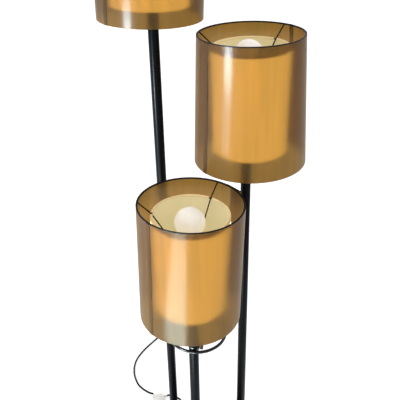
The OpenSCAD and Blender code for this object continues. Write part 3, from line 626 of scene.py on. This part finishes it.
for name, hub in zip(lamp_names, hub_places):
    at_hub = Matrix.Translation(hub)
    dome = spun(dome_outline, steps=72)
    soften(dome, cap_edge_r, sharper_than=50, segments=2)
    make_piece(f"{name}_dome_cap", dome, at_hub, [phenolic], "lamp", "black_bakelite",
               f"{name}_holder_cap")
    make_piece(f"{name}_threaded_skirt", spun(skirt_outline, steps=72), at_hub, [phenolic], "lamp",
               "black_bakelite", f"{name}_holder_skirt")
    ring = spun(ring_outline, steps=ring_flutes * 12)
    flute(ring, ring_flutes, ring_flute_depth, outside_r=ring_grip_r - 0.0025)
    make_piece(f"{name}_clamp_ring", ring, at_hub, [phenolic], "lamp", "black_bakelite",
               f"{name}_shade_ring")
    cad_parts[f"{name}_holder_insert"].material_slots[0].material = turned_brass
    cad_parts[f"{name}_lead"].material_slots[0].material = white_sheath

# ---- Spiders: steel wire, dipped black. Three arms run from the hub plate up to the ring in
# the inner cylinder's rim and on to the ring in the film's rim. Each shade leans a little.
ring_wire = 0.0034
arm_wire = 0.003
film_ring_r = 0.1183
film_ring_drop = 0.0017
inner_ring_r = 0.0873
inner_ring_drop = 0.0307
hub_plate_r = 0.028
hub_hole_r = 0.0203
hub_plate_edge_r = 0.0004
arm_foot_inset = 0.0028
arm_foot_drop = 0.001
arm_angles = [[188, 308, 428], [174, 285.5, 414], [180, 300, 420]]
shade_leans = [1.7, -0.7, 1.7]
shade_shifts = [Vector((-0.0005, 0, 0)), Vector((0.006, -0.001, 0)), Vector((0, 0, 0))]
lean_heading = 10
lean_axis = turned((0, 1, 0), lean_heading)
shade_places = [
    Matrix.Translation(hub + shift) @ Matrix.Rotation(math.radians(lean), 4, lean_axis)
    @ Matrix.Translation((0, 0, hub_drop))
    for hub, shift, lean in zip(hub_places, shade_shifts, shade_leans)
]

# Black dip lacquer on wire: satin, thicker in drops and runs
dipped_wire = finish("dipped_black_wire", ("#0c0805", "#18100a"), patch_mm=8,
                     roughness=(0.35, 0.55), grain_mm=1.2, grain_height_mm=0.04,
                     Specular_IOR_Level=0.12)


def wire_ring(r, drop, shade, spots=128):
    """Points round a circle at a drop below a shade's rim. It leans with the shade."""
    return [shade @ Vector((r * math.cos(a), r * math.sin(a), -drop))
            for a in (2 * math.pi * k / spots for k in range(spots))]


def rounded_corner(start, corner, end, cut=0.09):
    """The way from start to end round a corner that is bent, not folded."""
    into = corner.lerp(start, cut)
    out = corner.lerp(end, cut * 2)
    bend = [into.lerp(corner, t).lerp(corner.lerp(out, t), t) for t in (0, 0.25, 0.5, 0.75, 1)]
    return [start, *bend, end]


for name, hub, shade, arms_here in zip(lamp_names, hub_places, shade_places, arm_angles):
    plate = spun([(hub_hole_r, -hub_plate_t), (hub_plate_r, -hub_plate_t), (hub_plate_r, 0),
                  (hub_hole_r, 0)], steps=72)
    soften(plate, hub_plate_edge_r, segments=2)
    make_piece(f"{name}_hub_plate", plate, Matrix.Translation(hub), [dipped_wire], "lamp",
               "black_wire", f"{name}_spider")
    rings = bent_bar(f"{name}_spider_rings", ring_wire,
                     wire_ring(film_ring_r, film_ring_drop, shade),
                     wire_ring(inner_ring_r, inner_ring_drop, shade), closed=True)
    arm_runs = []
    for angle in arms_here:
        outward = turned((1, 0, 0), angle)
        arm_runs.append(rounded_corner(
            hub + outward * (hub_plate_r - arm_foot_inset) - Vector((0, 0, arm_foot_drop)),
            shade @ (inner_ring_r * outward - Vector((0, 0, inner_ring_drop))),
            shade @ (film_ring_r * outward - Vector((0, 0, film_ring_drop))),
        ))
    arms = bent_bar(f"{name}_spider_arms", arm_wire, *arm_runs)
    for wire in (rings, arms):
        wire.data.materials.append(dipped_wire)
        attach(wire, "lamp")

# ---- Outer shades: two half sheets of smoked brown acetate film each, a millimetre thick,
# rolled round and glued at two laps. The low shade's back lap has sprung off its neighbour.
film_top_r = 0.120
film_height = 0.303
film_flares = [0.001, 0.026, -0.004]
film_t = 0.001
rim_binding = 0.002
lap_width = 0.012
lap_angles = [[230, 50], [222, 42], [230, 50]]
loose_lap_length = 0.034
lap_sweep = math.degrees(lap_width / film_top_r)
joggle_sweep = 1.5
lap_thicknesses_out = 1.02
sheet_steps = 124

# Brown acetate: it tints what is behind it amber, is hazy with age, and mirrors the room
# softly, in streaks left by the rollers. Its rim is bound in black, like the wire, and at
# each lap it steps out over its neighbour within a short joggle.
smoked_film = finish("smoked_acetate_film", ("#7b5f29", "#997233"), patch_mm=14,
                     roughness=(0.42, 0.54), grain_mm=30, grain_height_mm=0.12,
                     drawn=(1, 1, 0.04), Transmission_Weight=0.8, IOR=1.1, Coat_Weight=0.16,
                     Coat_Roughness=0.2, Sheen_Weight=0.07, Sheen_Roughness=0.6)


def half_sheet(flare, start, sweep, lapped_start, flap):
    """One half sheet. Its far end rides on its neighbour, and its near end too if asked."""
    lower_r = film_top_r + flare / 2
    bound_r = film_top_r + flare / 2 * rim_binding / film_height
    outline = [(film_top_r, 0), (film_top_r + film_t, 0), (bound_r + film_t, -rim_binding),
               (lower_r + film_t, -film_height), (lower_r, -film_height),
               (bound_r, -rim_binding)]
    sheet = spun(outline, sweep=sweep, steps=sheet_steps)
    joggle = math.radians(joggle_sweep)
    for spot in sheet.verts:
        r = math.hypot(spot.co.x, spot.co.y)
        angle = math.atan2(spot.co.y, spot.co.x) % (2 * math.pi)
        if angle > math.radians(sweep) + joggle:
            angle -= 2 * math.pi
        past_far = (angle - math.radians(sweep - lap_sweep)) / joggle + 1
        past_near = (math.radians(lap_sweep) - angle) / joggle + 1 if lapped_start else 0
        ride = max(0, min(1, max(past_far, past_near)))
        spot.co.x *= 1 + ride * film_t * lap_thicknesses_out / r
        spot.co.y *= 1 + ride * film_t * lap_thicknesses_out / r
    if flap:
        # The near end's face lies on the X axis and looks back along Y
        end = min(sheet.faces, key=lambda f: abs(f.calc_center_median().y) + (f.normal.y > -0.9))
        drawn = bmesh.ops.extrude_face_region(sheet, geom=[end])["geom"]
        bmesh.ops.translate(sheet, vec=(0, -flap, 0),
                            verts=[g for g in drawn if isinstance(g, bmesh.types.BMVert)])
        bmesh.ops.delete(sheet, geom=[end], context="FACES_ONLY")
    bmesh.ops.rotate(sheet, matrix=Matrix.Rotation(math.radians(start), 3, "Z"), verts=sheet.verts)
    bmesh.ops.recalc_face_normals(sheet, faces=sheet.faces)
    for face in sheet.faces:
        face.material_index = int(face.calc_center_median().z > -rim_binding)
    return sheet


for name, shade, flare, laps in zip(lamp_names, shade_places, film_flares, lap_angles):
    sprung = name == "low"
    front_sheet = half_sheet(flare, laps[1], 180 + lap_sweep, sprung,
                             loose_lap_length if sprung else 0)
    back_sheet = half_sheet(flare, laps[0], 180 if sprung else 180 + lap_sweep, False, 0)
    make_piece(f"{name}_film_first_half", front_sheet, shade, [smoked_film, dipped_wire], "lamp",
               "smoked_film", f"{name}_film")
    make_piece(f"{name}_film_second_half", back_sheet, shade, [smoked_film, dipped_wire], "lamp",
               "smoked_film", f"{name}_film")

# ---- Inner shades: laminated cream card rolled to a cylinder, its rim turned round the
# spider's ring and notched where the arms pass. A wire keeps the bottom edge round.
card_r = 0.090
card_flares = [-0.014, -0.004, -0.004]
card_t = 0.001
card_bottom_drop = 0.275
dim_glow_band_widths = [0.007, 0.003, 0.003]
rim_roll_r = 0.0027
rim_roll_edge_r = 0.0006
notch_width = 0.0084
edge_wire_thickness = 0.0025
edge_wire_inset = 0.0005

# The card's outer face: amber varnish, with a strong painted glow that stands in for the bulb's
# light shining through the card
card_outside_painted_glow = finish("amber_card_painted_glow", ("#e9bd62", "#f2cd7c"), patch_mm=30,
                      roughness=(0.5, 0.65), grain_mm=1.0, grain_height_mm=0.05,
                      drawn=(1, 1, 0.2), Emission_Color=linear("#fffbe6"),
                      Emission_Strength=3.3)
# Just below the rolled rim a band of the card gets a weaker painted glow
card_band_weaker_glow = finish("card_band_weaker_painted_glow", ("#e2c387", "#efd49b"), patch_mm=30,
                  roughness=(0.55, 0.7), grain_mm=1.0, grain_height_mm=0.05,
                  Emission_Color=linear("#ffe48c"), Emission_Strength=0.35)
# Its inner face: uncoated ivory paper, matt, with a faint painted glow for the bulb's light on it
card_inside_painted_glow = finish("ivory_paper_painted_glow", ("#eee2b8", "#f7edcb"), patch_mm=25, roughness=(0.7, 0.85),
                     grain_mm=0.8, grain_height_mm=0.05, Emission_Color=linear("#fff2bc"),
                     Emission_Strength=0.13)
# The rolled rim shows the paper's raw cream core, lightened by a faint painted glow
card_rim_painted_glow = finish("cream_paper_roll_painted_glow", ("#eed6a2", "#f5e3b8"), patch_mm=10,
                  roughness=(0.65, 0.8), grain_mm=0.8, grain_height_mm=0.08,
                  Emission_Color=linear("#ffedbd"), Emission_Strength=0.1)


def round_section(middle_r, bar_r, steps):
    """The outline of a round bar or roll that is bent to a ring."""
    return [(middle_r + bar_r * math.cos(a), bar_r * math.sin(a))
            for a in (2 * math.pi * k / steps for k in range(steps))]


for name, shade, arms_here, flare, dim_glow_band_width in zip(lamp_names, shade_places, arm_angles,
                                                    card_flares, dim_glow_band_widths):
    edge_r = card_r + flare / 2
    dim_glow_band_r = card_r + flare / 2 * dim_glow_band_width / (card_bottom_drop - inner_ring_drop)
    wall = spun([(edge_r, -card_bottom_drop), (dim_glow_band_r, -inner_ring_drop - dim_glow_band_width),
                 (card_r, -inner_ring_drop), (card_r - card_t, -inner_ring_drop),
                 (edge_r - card_t, -card_bottom_drop)], steps=120)
    for face in wall.faces:
        middle = face.calc_center_median()
        inward = face.normal.dot(middle * Vector((1, 1, 0))) < 0
        # Inward faces get the inside paper, and outward faces in the band below the rim get the
        # weaker painted glow
        face.material_index = 1 if inward else 2 * (middle.z > -inner_ring_drop - dim_glow_band_width)
    make_piece(f"{name}_card_cylinder", wall, shade, [card_outside_painted_glow, card_inside_painted_glow, card_band_weaker_glow], "lamp",
               "cream_card", f"{name}_inner_shade")
    notch_sweep = math.degrees(notch_width / inner_ring_r)
    roll_ends = zip(arms_here, arms_here[1:] + [arms_here[0] + 360])
    for part, (angle, next_angle) in enumerate(roll_ends):
        roll = spun(round_section(inner_ring_r, rim_roll_r, 20),
                    sweep=next_angle - angle - notch_sweep, steps=40)
        soften(roll, rim_roll_edge_r, sharper_than=60, segments=2)
        bmesh.ops.rotate(roll, verts=roll.verts, matrix=Matrix.Rotation(
            math.radians(angle + notch_sweep / 2), 3, "Z"))
        make_piece(f"{name}_rim_roll_{part + 1}", roll,
                   shade @ Matrix.Translation((0, 0, -inner_ring_drop)), [card_rim_painted_glow], "lamp",
                   "cream_card", f"{name}_inner_shade")
    edge_wire_r = edge_r - card_t - edge_wire_thickness / 2
    edge_wire_drop = card_bottom_drop - edge_wire_thickness / 2 - edge_wire_inset
    edge_wire = bent_bar(f"{name}_bottom_wire", edge_wire_thickness,
                         wire_ring(edge_wire_r, edge_wire_drop, shade), closed=True)
    edge_wire.data.materials.append(dipped_wire)
    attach(edge_wire, "lamp")
    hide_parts(f"{name}_edge_wire")

# ---- Bulbs: 70 mm globes of opal glass, blown and coated inside, each in an aluminium screw
# cap with a rolled thread, drawn in at the end to the contact.
globe_r = 0.035
globe_drop = 0.050
cap_r = 0.013
cap_length = 0.026
neck_length = 0.011
glass_wall = 0.001
globe_step = 4
neck_blend = 8
cap_thread_drop = 0.003
cap_thread_pitch = 0.0036
cap_thread_turns = 5
contact_r = 0.004

# Opal glass: milky and glossy, softly lit from inside
opal_glass = finish("blown_opal_glass", ("#efebe2", "#f8f6f0"), patch_mm=30,
                    roughness=(0.08, 0.14), grain_mm=8, grain_height_mm=0.01, IOR=1.52,
                    Emission_Color=linear("#fff9f0"), Emission_Strength=0.26)
# Drawn aluminium with a rolled thread
thread_aluminium = finish("rolled_aluminium", ("#b9babc", "#d5d6d8"), patch_mm=6,
                          roughness=(0.25, 0.4), grain_mm=0.8, grain_height_mm=0.01,
                          Metallic=1.0)

glass_neck_r = cap_r - glass_wall
neck_waist = 0.0005
neck_angle = math.degrees(math.asin((glass_neck_r - neck_waist) / globe_r))
neck_z = -globe_r * math.cos(math.radians(neck_angle))
cap_top = -globe_r - neck_length
globe_angles = [a for a in range(0, 180, globe_step) if a < 180 - neck_angle - neck_blend]
globe_outline = (
    [(globe_r * math.sin(math.radians(a)), globe_r * math.cos(math.radians(a)))
     for a in globe_angles]
    + [(glass_neck_r + 0.0025, neck_z + 0.001), (glass_neck_r + 0.001, neck_z - 0.0015),
       (glass_neck_r + 0.0003, neck_z - 0.005), (glass_neck_r, cap_top),
       (glass_neck_r - glass_wall, cap_top), (glass_neck_r - 0.0007, neck_z - 0.005),
       (glass_neck_r + 0.0015, neck_z + 0.001)]
    + [((globe_r - glass_wall) * math.sin(math.radians(a)),
        (globe_r - glass_wall) * math.cos(math.radians(a))) for a in globe_angles[::-1]]
)
cap_end = cap_top - cap_length
cap_outline = [(0, cap_top), (cap_r - 0.0008, cap_top),
               (cap_r - 0.0006, cap_top - cap_thread_drop)]
for turn in range(cap_thread_turns):
    for fall, depth in ((0.0005, 0.0002), (0.0012, 0.0), (0.0021, 0.0002), (0.003, 0.0009)):
        cap_outline.append((cap_r - depth,
                            cap_top - cap_thread_drop - cap_thread_pitch * turn - fall))
cap_outline += [(cap_r - 0.0012, cap_end + 0.004), (cap_r - 0.003, cap_end + 0.001),
                (contact_r, cap_end - 0.002), (contact_r, cap_end - 0.003),
                (0, cap_end - 0.003)]
for name, place, rim in zip(lamp_names, pole_places, rim_heights):
    at_globe = Matrix.Translation(place + Vector((0, 0, rim - globe_drop)))
    make_piece(f"{name}_globe", spun(globe_outline, closed=False, steps=96), at_globe, [opal_glass],
               "lamp", "opal_glass", f"{name}_bulb_glass")
    make_piece(f"{name}_screw_cap", spun(cap_outline, closed=False, steps=64), at_globe,
               [thread_aluminium], "lamp", "cap_aluminium", f"{name}_bulb_cap")

# ---- Hoop: round steel bar bent to a ring, black and glossy, welded to a curved saddle that
# lies on the low pole. A brown thumb screw in the saddle's side clamps it.
hoop_bar_r = 0.004
hoop_r = 0.074
hoop_middle = Vector((0, -0.06825, 0.565))
saddle_inner_r = 0.01255
saddle_t = 0.002
saddle_height = 0.016
saddle_sweep = 140
saddle_start = -120
saddle_edge_r = 0.0005
saddle_lift = 0.002
knob_height = 0.569
knob_seat_x = 0.0148
knob_r = 0.007
knob_flutes = 12
knob_flute_depth = 0.0006

# Stoved gloss black: deeper and shinier than the poles
gloss_black = finish("stoved_gloss_black", ("#08080a", "#101013"), patch_mm=25,
                     roughness=(0.12, 0.2), grain_mm=3, grain_height_mm=0.012, IOR=1.52,
                     Specular_IOR_Level=0.35)
# Turned and polished phenolic: dark reddish brown with paler swirls
brown_phenolic = finish("brown_phenolic", ("#3a0f07", "#5c2212"), patch_mm=5,
                        roughness=(0.2, 0.32), grain_mm=0.8, grain_height_mm=0.01, IOR=1.62)

make_piece("hoop_ring", spun(round_section(hoop_r, hoop_bar_r, 24), steps=144),
           Matrix.Translation(hoop_middle), [gloss_black], "lamp", "black_gloss_bar", "hoop")
saddle_z = hoop_middle.z - saddle_height / 2 + saddle_lift
saddle_place = (Matrix.Translation((0, -pole_circle_r, saddle_z))
                @ Matrix.Rotation(math.radians(saddle_start), 4, "Z"))
saddle = spun([(saddle_inner_r, 0), (saddle_inner_r + saddle_t, 0),
               (saddle_inner_r + saddle_t, saddle_height), (saddle_inner_r, saddle_height)],
              sweep=saddle_sweep, steps=48)
soften(saddle, saddle_edge_r, sharper_than=60, segments=3)
make_piece("hoop_saddle", saddle, saddle_place, [gloss_black], "lamp", "black_gloss_bar", "hoop")
knob_outline = [(0, 0.010), (0.0045, 0.010), (0.0055, 0.0098), (knob_r - 0.0004, 0.0086),
                (knob_r, 0.0078), (knob_r, 0.0022), (knob_r - 0.0005, 0.0015), (0.005, 0.0015),
                (0.005, 0), (0.0025, 0), (0.0025, -0.006), (0, -0.006)]
knob = spun(knob_outline, closed=False, steps=knob_flutes * 12)
flute(knob, knob_flutes, knob_flute_depth, outside_r=knob_r - 0.0014)
make_piece("hoop_thumb_screw", knob,
           Matrix.Translation((knob_seat_x, -pole_circle_r, knob_height)) @ along_x,
           [brown_phenolic], "knob", "brown_knob", "hoop_knob")

# ---- Floor: white studio floor. Its own paint gives most of the white, so that it keeps the
# lamp's shadow, and what is seen directly, mirrored or through the film gets a little more.
floor_half_width = 9
floor_mesh = bmesh.new()
bmesh.ops.create_grid(floor_mesh, x_segments=1, y_segments=1, size=floor_half_width)
floor_data = bpy.data.meshes.new("floor")
floor_mesh.to_mesh(floor_data)
floor_mesh.free()
floor = bpy.data.objects.new("floor", floor_data)
bpy.context.scene.collection.objects.link(floor)


def share_seen(tree, unseen, seen):
    """One strength for light that falls on things and another for what is looked at."""
    ray = add_node(tree, "ShaderNodeLightPath")
    looked_at = add_node(tree, "ShaderNodeMath", {0: ray.outputs["Is Camera Ray"],
                                                  1: ray.outputs["Is Glossy Ray"]},
                         operation="MAXIMUM")
    looked_at = add_node(tree, "ShaderNodeMath", {0: looked_at.outputs[0],
                                                  1: ray.outputs["Is Transmission Ray"]},
                         operation="MAXIMUM")
    return add_node(tree, "ShaderNodeMapRange", {"Value": looked_at.outputs[0], "To Min": unseen,
                                                 "To Max": seen}).outputs["Result"]


floor_paint = bpy.data.materials.new("white_floor_paint")
floor_paint.use_nodes = True
paint_tree = floor_paint.node_tree
paint = paint_tree.nodes["Principled BSDF"]
paint.inputs["Base Color"].default_value = (0.88, 0.88, 0.88, 1)
paint.inputs["Roughness"].default_value = 0.8
paint.inputs["Emission Color"].default_value = (1, 1, 1, 1)
paint_tree.links.new(share_seen(paint_tree, unseen=0.0, seen=0.5),
                     paint.inputs["Emission Strength"])
floor_data.materials.append(floor_paint)

# ---- Light: an even white room, two panes of a window at the left front, whose mirror image
# is the white streak down the film, a wall at the left and a sunny patch of floor. All but
# the lower pane are only there to be mirrored.
room = bpy.data.worlds.new("studio")
bpy.context.scene.world = room
room.use_nodes = True
room_tree = room.node_tree
air = room_tree.nodes["Background"]
air.inputs["Color"].default_value = (1, 1, 1, 1)
room_tree.links.new(share_seen(room_tree, unseen=0.78, seen=1.0), air.inputs["Strength"])


def soft_lamp(name, width, height, watts, place, facing, colour=(1, 1, 1), mirrored_only=True):
    """A soft rectangular lamp, out of the picture."""
    lamp = bpy.data.lights.new(name, "AREA")
    lamp.shape = "RECTANGLE"
    lamp.size = width
    lamp.size_y = height
    lamp.energy = watts
    lamp.color = colour
    lamp_object = bpy.data.objects.new(name, lamp)
    turn = (Vector(facing) - Vector(place)).to_track_quat("-Z", "Y").to_matrix().to_4x4()
    lamp_object.matrix_world = Matrix.Translation(place) @ turn
    lamp_object.visible_camera = False
    lamp_object.visible_diffuse = not mirrored_only
    bpy.context.scene.collection.objects.link(lamp_object)


sky = (0.72, 0.87, 1)
sunlit_tiles = (0.78, 1, 0.96)
soft_lamp("window_upper_pane", width=0.42, height=0.30, watts=60,
          place=(-0.95, -1.22, 0.98), facing=(0, 0, 0.98), colour=sky)
soft_lamp("window_lower_pane", width=0.50, height=0.60, watts=18,
          place=(-1.05, -1.20, 0.42), facing=(0, 0, 0.42), colour=sky, mirrored_only=False)
soft_lamp("left_wall", width=1.6, height=1.2, watts=12,
          place=(-1.5, -0.25, 0.6), facing=(0, 0, 0.6), colour=sky)
soft_lamp("sunny_floor", width=0.72, height=1.1, watts=84,
          place=(-0.36, -1.30, 0.01), facing=(-0.36, -1.29, 1), colour=sunlit_tiles)

bpy.context.scene.view_settings.view_transform = "Standard"
